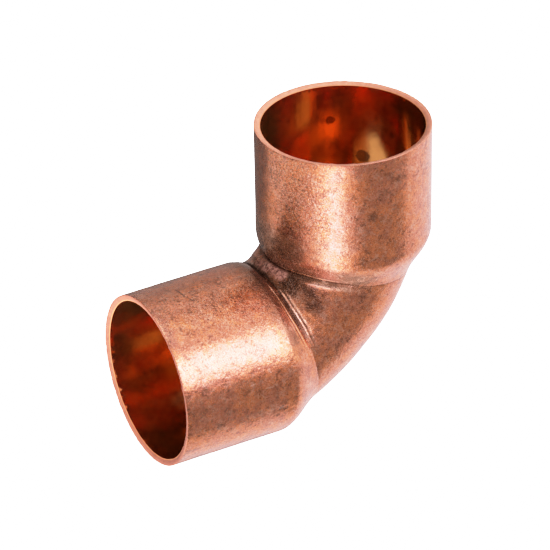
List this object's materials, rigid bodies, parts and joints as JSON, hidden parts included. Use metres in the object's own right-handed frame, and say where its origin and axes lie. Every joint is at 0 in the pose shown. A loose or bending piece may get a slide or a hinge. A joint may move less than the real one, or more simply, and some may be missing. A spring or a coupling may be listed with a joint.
{
  "type": "pipe elbow",
  "caption": "Right-angle copper solder elbow for 22 mm water pipe, formed from one tube with a socket at each end and a shouldered bend between them.",
  "frame": {"origin": "under the centre of the elbow's box, at the height of its lowest line, which is the underside of the side socket", "axes": "+Z is the way the upper socket opens, -X is the way the side socket opens, and the elbow is symmetric about the XZ plane; the socket axes cross at x 9.46 mm, z 11.98 mm"},
  "size_m": [0.0428, 0.024, 0.0429],
  "materials": {
    "copper": "satin, lightly tarnished copper"
  },
  "bodies": {
    "root": {"elbow_body": "copper"}
  },
  "joints": []
}
